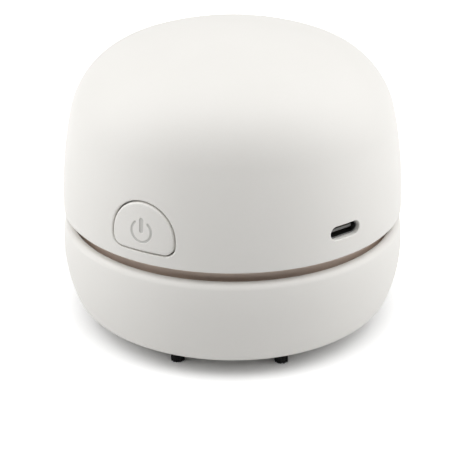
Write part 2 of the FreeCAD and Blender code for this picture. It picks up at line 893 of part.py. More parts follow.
def circuit_board():
    crescent = sector(board_inner_radius, board_radius, board_z, board_top_z,
                      -board_half_angle, board_half_angle)
    holes = board_posts(board_screw_radius + screw_fit, board_z - overrun, board_top_z + overrun)
    return cut_all(join([crescent, board_tongue()]), holes)


def board_screws():
    screws = []
    for azimuth in board_screw_azimuths:
        shank = front_post(board_screw_radius, board_screw_ring,
                           board_top_z - board_screw_length, board_top_z + board_screw_head / 2)
        head = front_post(board_screw_head_radius, board_screw_ring,
                          board_top_z, board_top_z + board_screw_head)
        screws.append(turned(shank.fuse(head).removeSplitter(), azimuth))
    return group(screws)


def board_chips():
    chip = block((-chip_length / 2, chip_length / 2),
                 (-chip_ring - chip_width / 2, -chip_ring + chip_width / 2),
                 (board_top_z, board_top_z + chip_height))
    return group(around(chip, chip_azimuths))


def obround(width, height, centre_z):
    """A slot-shaped face with round ends, drawn across and up."""
    radius = height / 2
    run = width / 2 - radius
    corners = [FreeCAD.Vector(x, y, 0) for x, y in ((-run, centre_z - radius), (run, centre_z - radius),
                                                    (run, centre_z + radius), (-run, centre_z + radius))]
    right = FreeCAD.Vector(run + radius, centre_z, 0)
    left = FreeCAD.Vector(-run - radius, centre_z, 0)
    edges = [Part.makeLine(corners[0], corners[1]), Part.Arc(corners[1], right, corners[2]).toShape(),
             Part.makeLine(corners[2], corners[3]), Part.Arc(corners[3], left, corners[0]).toShape()]
    return Part.Face(Part.Wire(edges))


def prism(face, near, far):
    """Extrude a face drawn across and up, from one distance out to another."""
    solid = face.extrude(Z_AXIS * (far - near))
    return moved(solid, 0, 0, near)


def socket_shell():
    mouth = socket_mouth_w()
    back = mouth - socket_length
    tube = prism(obround(socket_width, socket_height, socket_z), back, mouth)
    inside = obround(socket_width - 2 * socket_wall, socket_height - 2 * socket_wall, socket_z)
    return facing(tube.cut(prism(inside, back + socket_wall, mouth + overrun)), port_azimuth)


def socket_tongue():
    mouth = socket_mouth_w()
    back = mouth - socket_length + socket_wall
    inside = obround(socket_width - 2 * socket_wall, socket_height - 2 * socket_wall, socket_z)
    root = prism(inside, back, mouth - socket_wall - tongue_length - tongue_thickness)
    half = tongue_width / 2
    blade_block = block((-half, half),
                        (socket_z - tongue_thickness / 2, socket_z + tongue_thickness / 2),
                        (back, mouth - tongue_thickness))
    return facing(join([root, blade_block]), port_azimuth)


def button_face(grow):
    """The button's outline: flat foot, round lower corners, upright sides and a half-round top."""
    half = button_width / 2
    spring_z = button_z + button_height - half
    foot_half = half - button_corner
    foot_z_centre = button_z + button_corner
    low_round = button_corner + grow
    edges = [flat_arc(foot_half, foot_z_centre, low_round, -QUARTER_TURN, 0),
             flat_arc(0, spring_z, half + grow, 0, 2 * QUARTER_TURN),
             flat_arc(-foot_half, foot_z_centre, low_round, 2 * QUARTER_TURN, 3 * QUARTER_TURN)]
    low = button_z - grow
    side = half + grow
    edges.append(flat_line((-foot_half, low), (foot_half, low)))
    edges.append(flat_line((side, foot_z_centre), (side, spring_z)))
    edges.append(flat_line((-side, foot_z_centre), (-side, spring_z)))
    return Part.Face(Part.Wire(Part.__sortEdges__(edges)))


def flat_point(x, y, radius, degrees):
    angle = math.radians(degrees)
    return FreeCAD.Vector(x + radius * math.cos(angle), y + radius * math.sin(angle), 0)


def flat_arc(x, y, radius, start, end):
    points = [flat_point(x, y, radius, angle) for angle in (start, (start + end) / 2, end)]
    return Part.Arc(*points).toShape()


def flat_line(start, end):
    return Part.makeLine(FreeCAD.Vector(*start, 0), FreeCAD.Vector(*end, 0))


def button_prism(grow):
    return facing(prism(button_face(grow), 0, body_radius + overrun), button_azimuth)


def power_button():
    """The cap fills its hole, a flange behind holds it in and a stem reaches the switch."""
    back = shell_wall + button_flange_gap
    inside = dome_solid(back)
    cap = button_prism(0).common(dome_solid(-button_proud).cut(inside))
    flange = button_prism(button_flange_reach).common(inside.cut(dome_solid(back + button_flange)))
    above_plate = disc(body_radius, board_z, shell_lip_z + body_radius)
    stem = facing(Part.makeCylinder(button_stem_radius, stem_length + button_flange + button_flange_gap,
                                    FreeCAD.Vector(0, plunger_z, plunger_tip_w)), button_azimuth)
    button = join([cap, flange.common(above_plate), stem])
    return rounded(button, button_edge_round, opening_edge(button_azimuth, button_width, -button_proud))


def switch_body():
    half = switch_width / 2
    body = block((-half, half), (board_top_z, board_top_z + switch_height),
                 (switch_face_w - switch_depth, switch_face_w))
    hole = Part.makeCylinder(plunger_radius + plunger_fit, switch_bore_depth + overrun,
                             FreeCAD.Vector(0, plunger_z, switch_face_w - switch_bore_depth))
    return facing(body.cut(hole), button_azimuth)


def switch_plunger():
    inside = switch_bore_depth - button_travel - plunger_end_gap
    rod = Part.makeCylinder(plunger_radius, inside + plunger_reach,
                            FreeCAD.Vector(0, plunger_z, switch_face_w - inside))
    return facing(rod, button_azimuth)


def top_shell():
    inside = dome_solid(shell_wall, overrun)
    shell = rounded(dome_solid(0), shell_lip_round, circle_at(shell_lip_z, body_radius)).cut(inside)
    root = dome_solid(shell_wall / 2)
    top = shell_lip_z + body_radius + battery_radius
    post = front_post(shell_post_radius, screw_ring_radius, plate_top_z, top).common(root)
    rib_low = battery_z + battery_radius + battery_fit
    rib = block((-battery_rib / 2, battery_rib / 2),
                (battery_y - battery_radius, battery_y + battery_radius), (rib_low, top)).common(root)
    ribs = [moved(rib, x, 0, 0) for x in (-battery_rib_spacing / 2, battery_rib_spacing / 2)]
    shell = join([shell] + around(post, screw_azimuths) + [piece.common(root) for piece in ribs])
    pilot = front_post(screw_radius, screw_ring_radius, plate_top_z - overrun,
                       plate_top_z + screw_bite + screw_pilot_extra)
    port = prism(obround(socket_width + 2 * port_fit, socket_height + 2 * port_fit, socket_z),
                 screw_ring_radius, body_radius + overrun)
    cuts = around(pilot, screw_azimuths) + [facing(port, port_azimuth), button_prism(button_gap)]
    shell = rounded(cut_all(shell, cuts), port_edge_round, opening_edge(port_azimuth, socket_width, 0))
    return rounded(shell, button_hole_round, opening_edge(button_azimuth, button_width, 0))


def battery_cell():
    can = battery_solid(battery_radius, battery_length)
    can = can.makeFillet(battery_edge_round, [edge for edge in can.Edges
                                              if isinstance(edge.Curve, Part.Circle)])
    nub = Part.makeCylinder(battery_nub_radius, battery_nub,
                            FreeCAD.Vector(battery_length / 2, battery_y, battery_z), X_AXIS)
    return can.fuse(nub).removeSplitter()


def battery_tabs():
    """Welded strips at both ends that stand up past the cell for the leads."""
    half = tab_width / 2
    top = battery_z + battery_radius + tab_rise
    y_span = (battery_y - half, battery_y + half)
    z_span = (battery_z - half, top)
    negative = block((-battery_length / 2 - tab_thickness, -battery_length / 2), y_span, z_span)
    face = battery_length / 2 + battery_nub
    positive = block((face, face + tab_thickness), y_span, z_span)
    return group([negative, positive])


def foam_pad():
    half_length = battery_pad_length / 2
    half_width = battery_pad_width / 2
    pad = block((-half_length, half_length), (battery_y - half_width, battery_y + half_width),
                (plate_top_z, battery_z))
    return pad.cut(battery_solid(battery_radius, battery_length))


def lead(points):
    """A round wire along straight runs with a tangent arc at every turn."""
    edges = []
    start = points[0]
    for before, corner, after in zip(points, points[1:], points[2:]):
        back = before - corner
        ahead = after - corner
        reach = bend_share * min(back.Length, ahead.Length)
        back.normalize()
        ahead.normalize()
        turn = math.pi - back.getAngle(ahead)
        radius = reach / math.tan(turn / 2)
        bisector = back + ahead
        bisector.normalize()
        centre = corner + bisector * math.hypot(reach, radius)
        first = corner + back * reach
        last = corner + ahead * reach
        edges.append(Part.makeLine(start, first))
        edges.append(Part.Arc(first, centre - bisector * radius, last).toShape())
        start = last
    edges.append(Part.makeLine(start, points[-1]))
    path = Part.Wire(edges)
    heading = points[1] - points[0]
    section = Part.Wire(Part.makeCircle(lead_radius, points[0], heading))
    return path.makePipeShell([section], True, False)


def motor_lead(side):
    """From a motor terminal forward over the motor and down to the board."""
    x = side * terminal_offset
    z = endcap_top_z + terminal_height / 2
    start = FreeCAD.Vector(x, -terminal_width / 2, z)
    turn = FreeCAD.Vector(x, -motor_lead_forward, z)
    return lead([start, turn, FreeCAD.Vector(x, -motor_lead_forward, board_top_z)])


def battery_lead(side):
    """From a battery tab forward beside the motor and down to the board."""
    end_x = battery_length / 2 if side < 0 else battery_length / 2 + battery_nub
    z = battery_z + battery_radius + tab_rise / 2
    start = FreeCAD.Vector(side * (end_x + tab_thickness / 2), battery_y - tab_width / 2 - solder_gap, z)
    bow = FreeCAD.Vector(side * lead_bow_radius, 0, z + lead_rise)
    land = side * lead_land_offset
    y = -math.sqrt(lead_land_ring ** 2 - lead_land_offset ** 2)
    above = FreeCAD.Vector(land, y, z)
    return lead([start, bow, above, FreeCAD.Vector(land, y, board_top_z)])


def all_nodes():
    nodes = {"base_shell": base_shell()}
    for number, azimuth in enumerate(evenly(tuft_count, tuft_first_azimuth), 1):
        nodes["bristle_tuft_%d" % number] = bristle_tuft(azimuth)
    nodes["filter_seal"] = filter_seal()
    nodes["filter_frame"] = filter_frame()
    nodes["filter_mesh"] = filter_mesh()
    nodes["filter_pad"] = filter_pad()
    nodes["fan_housing"] = fan_housing()
    nodes["impeller"] = impeller()
    nodes["motor_shaft"] = motor_shaft()
    nodes["motor_core"] = motor_core()
    nodes["motor_windings"] = motor_windings()
    nodes["motor_magnets"] = motor_magnets()
    nodes["motor_can"] = motor_can()
    nodes["motor_bushes"] = motor_bushes()
    nodes["motor_endcap"] = motor_endcap()
    nodes["motor_terminals"] = motor_terminals()
    nodes["motor_screws"] = motor_screws()
    nodes["motor_plate"] = motor_plate()
    nodes["housing_screws"] = housing_screws()
    nodes["circuit_board"] = circuit_board()
    nodes["board_screws"] = board_screws()
    nodes["board_chips"] = board_chips()
    nodes["socket_shell"] = socket_shell()
    nodes["socket_tongue"] = socket_tongue()
    nodes["switch_body"] = switch_body()
    nodes["switch_plunger"] = switch_plunger()
    nodes["power_button"] = power_button()
    nodes["battery_cell"] = battery_cell()
    nodes["battery_tabs"] = battery_tabs()
    nodes["battery_pad"] = foam_pad()
    nodes["motor_lead_red"] = motor_lead(1)
    nodes["motor_lead_black"] = motor_lead(-1)
    nodes["battery_lead_red"] = battery_lead(1)
    nodes["battery_lead_black"] = battery_lead(-1)
    nodes["top_shell"] = top_shell()
    return nodes


def main():
    os.makedirs("parts", exist_ok=True)
    for name, shape in all_nodes().items():
        shape.exportStep("parts/%s.step" % name)


main()
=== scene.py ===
import json
import math

import bmesh
import bpy
import numpy as np
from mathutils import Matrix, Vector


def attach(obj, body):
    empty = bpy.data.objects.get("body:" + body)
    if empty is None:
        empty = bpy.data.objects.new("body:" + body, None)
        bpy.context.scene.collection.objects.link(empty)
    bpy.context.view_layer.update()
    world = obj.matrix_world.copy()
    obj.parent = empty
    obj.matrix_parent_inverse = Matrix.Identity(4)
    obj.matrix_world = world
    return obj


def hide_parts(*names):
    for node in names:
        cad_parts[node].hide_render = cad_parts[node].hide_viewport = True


# Desktop mini vacuum cleaner: a white domed body in a low dust bowl that stands on bristle tufts.
# Pieces and patterns are sized in millimetres, and MM makes them metres where a mesh or a material
# is made; camera, lamps and floor are in metres. Azimuths are in degrees from the front towards
# the right. A point on a side is given as across, up and out.

MM = 0.001
TURN = 2 * math.pi

# The camera was fitted to the outline, the slot's edges and the bowl's foot: its place, the
# degrees that it looks down, its lens and sensor in millimetres, and its sideways shift

CAMERA_PLACE = (0.0, -0.33532, 0.17761)
CAMERA_DOWN = 25.125
LENS = 104.3
SENSOR = 36.0
SHIFT = 0.00523
CLIP_NEAR = 0.01
CLIP_FAR = 20.0

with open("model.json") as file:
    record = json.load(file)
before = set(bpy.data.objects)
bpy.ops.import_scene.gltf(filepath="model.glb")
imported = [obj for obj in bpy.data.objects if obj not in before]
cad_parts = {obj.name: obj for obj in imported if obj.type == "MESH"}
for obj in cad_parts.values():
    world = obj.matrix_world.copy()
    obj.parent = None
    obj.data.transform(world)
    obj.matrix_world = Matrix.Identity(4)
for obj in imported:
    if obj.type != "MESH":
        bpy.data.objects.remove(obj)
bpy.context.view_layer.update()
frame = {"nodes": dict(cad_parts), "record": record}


def set_camera():
    data = bpy.data.cameras.new("camera")
    data.sensor_width = SENSOR
    data.lens = LENS
    data.shift_x = SHIFT
    data.clip_start, data.clip_end = CLIP_NEAR, CLIP_FAR
    camera = bpy.data.objects.new("camera", data)
    bpy.context.scene.collection.objects.link(camera)
    camera.location = CAMERA_PLACE
    camera.rotation_euler = (math.radians(90 - CAMERA_DOWN), 0.0, 0.0)
    bpy.context.scene.camera = camera


set_camera()

# Places and sizes that the solids have, but for the seal, whose legs and web are a little thinner
# so that it clears the bowl's dust wall when the body twists

body_radius = 45.0
lip_z = 31.1
flank_arc = 120.7
floor_z = 4.2
board_z = 35.4
tuft_count = 8
tuft_first_azimuth = -23.9
tuft_ring = 34.7
tuft_radius = 1.75
tuft_tip_radius = 1.9
tuft_top_z = 8.2
button_azimuth = -29.3
button_width = 17.1
button_height = 12.25
button_z = 34.5
button_corner = 2.6
button_round = 0.5
button_proud = 0.15
button_back = 2.3
flange_reach = 1.4
flange_back = 3.2
stem_radius = 2.2
stem_tip_out = 40.2
port_azimuth = 38.0
socket_z = 38.03
tongue_top = 0.35
media_radius = 35.2
pad_low_z = 17.7
pad_top_z = 20.5
mesh_low_z = 17.4
mesh_height = 0.3
seal_inner = 37.0
seal_outer = 40.5
seal_leg = 0.79
seal_low_z = 16.0
seal_web_z = 18.03
seal_top_z = 19.2
cell_y = 21.5
cell_z = 43.6
cell_radius = 7.1
foam_length = 22.0
foam_width = 8.0
foam_low_z = 35.0


# Shapes: every one is worked out as whole arrays

def flank(z, inset):
    """Radius of the dome's side at a height: the arc's centre plus the root of arc less inset
    squared, less height above the lip squared."""
    return body_radius - flank_arc + np.sqrt((flank_arc - inset) ** 2 - (z - lip_z) ** 2)


def on_side(across, up, out, azimuth):
    """Points given as across, up and out: x is across cos a plus out sin a, y is across sin a
    less out cos a."""
    a = math.radians(azimuth)
    across, up, out = np.broadcast_arrays(across, up, out)
    x = across * math.cos(a) + out * math.sin(a)
    y = across * math.sin(a) - out * math.cos(a)
    return np.stack([x, y, up], axis=-1)


def on_dome(across, up, inset, azimuth):
    """Lays flat points on the dome: out is the root of the radius squared less across squared."""
    radius = flank(up, inset)
    return on_side(across, up, np.sqrt(radius ** 2 - across ** 2), azimuth)


def grid_faces(rows, columns, closed_rows=False):
    """Quads between neighbouring points of a grid. Its rows run round, and its columns too where
    asked."""
    r = np.arange(rows if closed_rows else rows - 1)
    r, c = np.meshgrid(r, np.arange(columns), indexing="ij")
    below, beside = (r + 1) % rows, (c + 1) % columns
    quads = [r * columns + c, r * columns + beside, below * columns + beside, below * columns + c]
    return np.stack(quads, axis=-1).reshape(-1, 4)


def end_faces(rows, columns):
    """The two many-sided faces that close a tube."""
    ring = np.arange(columns)
    return np.stack([ring[::-1], (rows - 1) * columns + ring])


def capped_faces(rows, columns):
    """The faces of one tube with its ends closed."""
    return grid_faces(rows, columns).tolist() + end_faces(rows, columns).tolist()


def tubes(points, count, rows, columns):
    """Many closed tubes with the same grid: the faces' numbers move on by the points of one."""
    points = points.reshape(-1, 3)
    start = np.arange(count)[:, None, None] * (len(points) // count)
    walls, ends = grid_faces(rows, columns) + start, end_faces(rows, columns) + start
    return points, walls.reshape(-1, 4).tolist() + ends.reshape(-1, columns).tolist()


def joined(parts):
    """Several lists of points and faces as one, with the faces' numbers moved on."""
    points, faces, start = [], [], 0
    for part_points, part_faces in parts:
        part_points = np.reshape(part_points, (-1, 3))
        points.append(part_points)
        faces += [[int(corner) + start for corner in face] for face in part_faces]
        start += len(part_points)
    return np.concatenate(points), faces


def rounded_outline(corners, radius, steps=6):
    """A closed outline with each corner replaced by an arc that touches both sides: its centre
    lies on the corner's bisector, radius over the sine of half the angle away."""
    corners = np.asarray(corners, float)
    before = np.roll(corners, 1, 0) - corners
    after = np.roll(corners, -1, 0) - corners
    before /= np.linalg.norm(before, axis=1, keepdims=True)
    after /= np.linalg.norm(after, axis=1, keepdims=True)
    half = np.arccos(np.clip((before * after).sum(1), -1, 1)) / 2
    middle = (before + after) / np.linalg.norm(before + after, axis=1, keepdims=True)
    radius = np.broadcast_to(np.asarray(radius, float), half.shape)
    centre = corners + middle * (radius / np.sin(half))[:, None]
    start = corners + before * (radius / np.tan(half))[:, None] - centre
    end = corners + after * (radius / np.tan(half))[:, None] - centre
    begin = np.arctan2(start[:, 1], start[:, 0])
    sweep = (np.arctan2(end[:, 1], end[:, 0]) - begin + math.pi) % TURN - math.pi
    angle = begin[:, None] + sweep[:, None] * np.linspace(0, 1, steps)
    arcs = centre[:, None] + radius[:, None, None] * np.stack([np.cos(angle), np.sin(angle)], -1)
    return arcs.reshape(-1, 2)


def box_corners(low_x, high_x, low_y, high_y):
    """The corners of an upright box, in order round it."""
    return [(low_x, low_y), (high_x, low_y), (high_x, high_y), (low_x, high_y)]


def spun(section, columns):
    """A closed section of radius and height, turned once round the axis."""
    angle = np.linspace(0, TURN, columns, endpoint=False)
    radius, height = section[:, :1], section[:, 1:]
    points = np.stack([radius * np.cos(angle), radius * np.sin(angle),
                       np.broadcast_to(height, (len(section), columns))], -1)
    return points, grid_faces(len(section), columns, closed_rows=True)


def spread(count, radius):
    """Evenly filled disc: the radius grows as the root of the number, and each point is turned
    from the last by the golden angle, pi times three less the root of five."""
    number = np.arange(count)
    r = radius * np.sqrt((number + 0.5) / count)
    angle = number * math.pi * (3 - math.sqrt(5))
    return r * np.cos(angle), r * np.sin(angle)


def piece(name, points, faces, body, material, replaced=(), shade=35, values=None):
    """Makes a mesh object from millimetres, turns its faces outwards and ties it to its body.
    Edges are smooth below shade degrees, and values are a name and a number for each point."""
    mesh = bpy.data.meshes.new(name)
    mesh.from_pydata((np.reshape(points, (-1, 3)) * MM).tolist(), [], faces)
    if values is not None:
        layer = mesh.attributes.new(values[0], "FLOAT", "POINT")
        layer.data.foreach_set("value", np.asarray(values[1], np.float32))
    shell = bmesh.new()
    shell.from_mesh(mesh)
    bmesh.ops.recalc_face_normals(shell, faces=shell.faces)
    for edge in shell.edges:
        edge.smooth = len(edge.link_faces) < 2 or edge.calc_face_angle() < math.radians(shade)
    shell.to_mesh(mesh)
    shell.free()
    mesh.polygons.foreach_set("use_smooth", np.ones(len(mesh.polygons), bool))
    mesh.update()
    made = bpy.data.objects.new(name, mesh)
    bpy.context.scene.collection.objects.link(made)
    mesh.materials.append(material)
    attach(made, body)
    if replaced:
        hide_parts(*replaced)
    return made


# Materials: nodes first, then the four kinds of surface

broad_mm = 15
pattern_lift = 0.25
wave_node_factor = 20
wave_distortion = 0.3
fibre_bend_spacing = 3
fibre_wall = 0.35


def linear(code):
    """An sRGB hex colour as linear light, by the standard's formula."""
    parts = [int(code[i:i + 2], 16) / 255 for i in (0, 2, 4)]
    return [c / 12.92 if c <= 0.04045 else ((c + 0.055) / 1.055) ** 2.4 for c in parts] + [1.0]


def add(tree, kind, inputs=None, **settings):
    """Adds a node: settings are its properties, inputs are values or outputs to link from."""
    node = tree.nodes.new(kind)
    for key, value in settings.items():
        setattr(node, key, value)
    for key, value in (inputs or {}).items():
        if isinstance(value, bpy.types.NodeSocket):
            tree.links.new(value, node.inputs[key])
        else:
            node.inputs[key].default_value = value
    return node


def mixed(tree, share, first, second):
    """A colour between two."""
    inputs = {0: share, 6: first, 7: second}
    return add(tree, "ShaderNodeMix", inputs, data_type="RGBA").outputs[2]


def ranged(tree, value, start, end, low, high):
    """A value between start and end as one between low and high, level beyond them."""
    inputs = {0: value, 1: start, 2: end, 3: low, 4: high}
    return add(tree, "ShaderNodeMapRange", inputs).outputs[0]


def computed(tree, operation, *inputs):
    return add(tree, "ShaderNodeMath", dict(enumerate(inputs)), operation=operation).outputs[0]


def noise(tree, place, size_mm, detail):
    inputs = {"Vector": place, "Scale": 1 / (size_mm * MM), "Detail": detail}
    return add(tree, "ShaderNodeTexNoise", inputs)


def start_material(name, **shader):
    """A material with its tree, its shader and the object's coordinates."""
    material = bpy.data.materials.new(name)
    material.use_nodes = True
    tree = material.node_tree
    surface = tree.nodes["Principled BSDF"]
    for key, value in shader.items():
        surface.inputs[key.replace("_", " ")].default_value = value
    return material, tree, surface, add(tree, "ShaderNodeTexCoord").outputs["Object"]


def finish_surface(tree, surface, pattern, dark, light, rough, bump_mm):
    """A pattern from 0 to 1 gives colour between two, roughness between two, and height."""
    colour = mixed(tree, pattern, linear(dark), linear(light))
    gloss = ranged(tree, pattern, 0.0, 1.0, *rough)
    height = add(tree, "ShaderNodeBump", {"Height": pattern, "Distance": bump_mm * MM})
    tree.links.new(colour, surface.inputs["Base Color"])
    tree.links.new(gloss, surface.inputs["Roughness"])
    tree.links.new(height.outputs[0], surface.inputs["Normal"])


def moulded(name, dark, light, grain_mm, rough, bump_mm, **shader):
    """Moulded plastic or rubber: a fine grain from the mould's spark-worn face, of a size in
    millimetres, times a broad, slow change where the melt cooled unevenly."""
    material, tree, surface, place = start_material(name, **shader)
    fine = noise(tree, place, grain_mm, 3.0).outputs[0]
    broad = noise(tree, place, broad_mm, 1.0).outputs[0]
    both = computed(tree, "MULTIPLY_ADD", fine, broad, pattern_lift)
    finish_surface(tree, surface, both, dark, light, rough, bump_mm)
    return material


def drawn(name, dark, light, line_mm, stretch, rough, bump_mm, **shader):
    """Drawn, rolled or wound metal: noise that is stretched along some axes, so that it shows
    as lines of a real spacing."""
    material, tree, surface, place = start_material(name, Metallic=1.0, **shader)
    along = add(tree, "ShaderNodeMapping", {"Vector": place, "Scale": stretch}).outputs[0]
    lines = noise(tree, along, line_mm, 2.0).outputs[0]
    finish_surface(tree, surface, lines, dark, light, rough, bump_mm)
    return material


def banded(name, dark, light, pitch_mm, direction, rough, bump_mm, **shader):
    """Layers or turns side by side: a sine wave across them whose length is their pitch. The
    node's own factor multiplies the place before the sine."""
    material, tree, surface, place = start_material(name, **shader)
    inputs = {"Vector": place, "Scale": TURN / (wave_node_factor * pitch_mm * MM),
              "Distortion": wave_distortion}
    wave = add(tree, "ShaderNodeTexWave", inputs, bands_direction=direction).outputs[1]
    finish_surface(tree, surface, wave, dark, light, rough, bump_mm)
    return material


def fibrous(name, dark, light, fibre_mm, rough, bump_mm, **shader):
    """Loose fibres or an open foam: cells of the fibres' spacing, bent by a noise three times as
    wide, with their walls standing up."""
    material, tree, surface, place = start_material(name, **shader)
    bend = noise(tree, place, fibre_bend_spacing * fibre_mm, 4.0).outputs[1]
    moved = add(tree, "ShaderNodeVectorMath", {0: bend, 1: (fibre_mm * MM,) * 3, 2: place},
                operation="MULTIPLY_ADD").outputs[0]
    cells = add(tree, "ShaderNodeTexVoronoi", {"Vector": moved, "Scale": 1 / (fibre_mm * MM)},
                feature="DISTANCE_TO_EDGE").outputs[0]
    walls = ranged(tree, cells, 0.0, fibre_wall, 1.0, 0.0)
    finish_surface(tree, surface, walls, dark, light, rough, bump_mm)
    return material


# Each takes its name, its darker and paler colour, the size of its pattern in millimetres, how
# the pattern lies where it has a direction, roughness from and to, and its height in millimetres.
# The shell and the button are one white plastic.

white = ("EFEDE8", "F4F2EE")
white_grain_mm = 0.5
white_height_mm = 0.003
sign_grey = "D0CFCB"
button_roughness = 0.5

# ABS, injection moulded with a matt grain: off-white, with broad soft highlights
white_abs = moulded("moulded_abs_white", *white, white_grain_mm, (0.48, 0.56), white_height_mm,
                    IOR=1.54)
# Nylon filament, extruded and cut: deep black with a thin sheen along each strand
bristle_nylon = moulded("extruded_nylon_black", "020203", "0A0A0B", 0.3, (0.4, 0.55), 0.004,
                        IOR=1.53, Specular_IOR_Level=0.25)
# Silicone rubber, moulded: soft dark grey without a clear highlight
seal_silicone = moulded("moulded_silicone_grey", "464649", "54545A", 0.8, (0.55, 0.7), 0.01,
                        IOR=1.41)
# Polypropylene, moulded: pale grey and a little waxy
filter_pp = moulded("moulded_polypropylene_grey", "D6D6D3", "E2E2DF", 0.6, (0.4, 0.5), 0.004,
                    IOR=1.49)
# ABS in taupe, moulded: the wall that shows in the slot
taupe_abs = moulded("moulded_abs_taupe", "D4C0B2", "DDCABD", 0.6, (0.4, 0.5), 0.004, IOR=1.54)
# ABS in light grey, moulded matt: the inner plate
grey_abs = moulded("moulded_abs_light_grey", "C9C9C6", "D4D4D1", 0.6, (0.42, 0.52), 0.004,
                   IOR=1.54)
# Glass-filled nylon, moulded: dark impeller with a faint mottle
fan_nylon = moulded("moulded_nylon_dark", "1F1F22", "2E2E31", 0.9, (0.32, 0.45), 0.004, IOR=1.53)
# Liquid-crystal polymer, moulded: the socket's tongue, mid grey and a little streaked
tongue_lcp = moulded("moulded_liquid_crystal_polymer_grey", "565654", "6A6A67", 0.5, (0.4, 0.5),
                     0.003, IOR=1.6)
# Polybutylene terephthalate, moulded matt black: motor cap, switch and chips
black_pbt = moulded("moulded_pbt_black", "0D0D0E", "1A1A1B", 0.4, (0.4, 0.52), 0.003, IOR=1.56)
# Nylon, moulded natural white: the switch's plunger
plunger_nylon = moulded("moulded_nylon_natural", "D8D6CE", "E6E4DC", 0.5, (0.38, 0.48), 0.003,
                        IOR=1.53)
# Polyester film, heat shrunk on the cell: glossy blue with fine wrinkles
shrink_sleeve = moulded("shrunk_polyester_sleeve_blue", "1B4A86", "2A5E9E", 2.5, (0.16, 0.26),
                        0.03, IOR=1.57, Coat_Weight=0.3)
# Polyvinyl chloride, extruded on the wire: smooth and softly glossy
red_pvc = moulded("extruded_pvc_red", "9E1515", "B41C1A", 0.8, (0.3, 0.4), 0.004, IOR=1.53)
black_pvc = moulded("extruded_pvc_black", "101011", "1D1D1F", 0.8, (0.3, 0.4), 0.004, IOR=1.53)
# Sintered ferrite: dull dark grey with open pores
ferrite = moulded("sintered_ferrite", "252527", "3A3A3D", 0.25, (0.62, 0.8), 0.01)
# Glass-fibre board under green solder mask: glossy, the weave's 1.2 mm lines just show
mask_board = banded("solder_mask_on_glass_fibre", "0F4A2A", "14583A", 1.2, "DIAGONAL",
                    (0.22, 0.34), 0.006, IOR=1.5)
# Deep-drawn steel can, nickel flashed: lines run up the can
can_steel = drawn("deep_drawn_steel", "A9ABAF", "BDBFC3", 0.5, (1, 1, 0.05), (0.24, 0.38), 0.002)
# Electrical steel sheets, 0.5 mm each, stacked along the shaft
lamination = banded("stacked_electrical_steel", "55575B", "85878B", 0.5, "Z", (0.35, 0.5), 0.03,
                    Metallic=1.0)
# Enamelled copper wire, wound in turns of 0.35 mm
copper_turns = banded("wound_enamelled_copper", "8A3F1E", "C8743E", 0.35, "Z", (0.22, 0.35), 0.06,
                      Metallic=1.0)
# Sintered bronze, oil filled: the motor's bushes, and its terminals, which share their slot
sintered_bronze = drawn("sintered_bronze", "96763F", "B08E52", 0.2, (1, 1, 1), (0.3, 0.5), 0.006)
# Zinc-plated screws: bright, a little blue, lines round the thread
zinc_plate = drawn("zinc_plated_steel", "A8ADB4", "C6CBD2", 0.3, (1, 1, 0.3), (0.2, 0.34), 0.002)
# Stainless sheet, folded and nickel plated: the charging socket's shell
socket_plate = drawn("nickel_plated_sheet", "6E6F70", "8A8B8C", 0.3, (1, 1, 0.1), (0.28, 0.4),
                     0.001)
# Nickel strip, rolled: the cell's welded tabs
nickel_strip = drawn("rolled_nickel_strip", "AAA79C", "C2BFB4", 0.2, (0.1, 1, 1), (0.25, 0.4),
                     0.002)
# Hard gold on copper: the socket's contacts
contact_gold = drawn("hard_gold_plate", "C79A3C", "DDB24E", 0.2, (1, 1, 1), (0.2, 0.3), 0.001)
# Polyester felt, needle punched: white, fibres drawn 0.45 mm apart, coarser than the real ones
filter_felt = fibrous("needled_polyester_felt", "D9D8D2", "F0EFEA", 0.45, (0.85, 1.0), 0.12,
                      Sheen_Weight=0.3)
# Polyurethane foam with adhesive, cut: dark grey with open cells of 0.5 mm
cut_foam = fibrous("cut_polyurethane_foam", "1E1E20", "454548", 0.5, (0.85, 1.0), 0.15)
# Nylon monofilament, woven plain: pale threads with a clear sheen
mesh_thread = moulded("woven_nylon_thread", "C4C4C0", "D6D6D2", 0.3, (0.35, 0.5), 0.002, IOR=1.53)


def button_material():
    """The shell's white plastic, with the sunk sign filled in grey."""
    material, tree, surface, place = start_material("moulded_abs_white_with_grey_sign", IOR=1.54)
    grain = noise(tree, place, white_grain_mm, 3.0).outputs[0]
    sign = add(tree, "ShaderNodeAttribute", attribute_name="sign").outputs["Fac"]
    plain = mixed(tree, grain, *map(linear, white))
    colour = mixed(tree, sign, plain, linear(sign_grey))
    height = add(tree, "ShaderNodeBump", {"Height": grain, "Distance": white_height_mm * MM})
    tree.links.new(colour, surface.inputs["Base Color"])
    tree.links.new(height.outputs[0], surface.inputs["Normal"])
    surface.inputs["Roughness"].default_value = button_roughness
    return material


button_abs = button_material()

materials = {
    "white_shell": white_abs, "black_bristle": bristle_nylon, "seal_rubber": seal_silicone,
    "filter_plastic": filter_pp, "mesh_nylon": mesh_thread, "filter_felt": filter_felt,
    "taupe_plastic": taupe_abs, "plate_plastic": grey_abs, "impeller_plastic": fan_nylon,
    "steel": can_steel, "core_steel": lamination, "copper_wire": copper_turns, "ferrite": ferrite,
    "bronze": sintered_bronze, "black_plastic": black_pbt, "screw_steel": zinc_plate,
    "board_green": mask_board, "socket_steel": socket_plate, "plunger_plastic": plunger_nylon,
    "cell_sleeve": shrink_sleeve, "nickel": nickel_strip, "foam": cut_foam, "red_wire": red_pvc,
    "black_wire": black_pvc}
own_materials = {"socket_tongue": tongue_lcp}

for part in frame["record"]["subparts"]:
    node_mesh = frame["nodes"][part["node"]].data
    node_mesh.materials.clear()
    node_mesh.materials.append(own_materials.get(part["node"], materials[part["material_slot"]]))


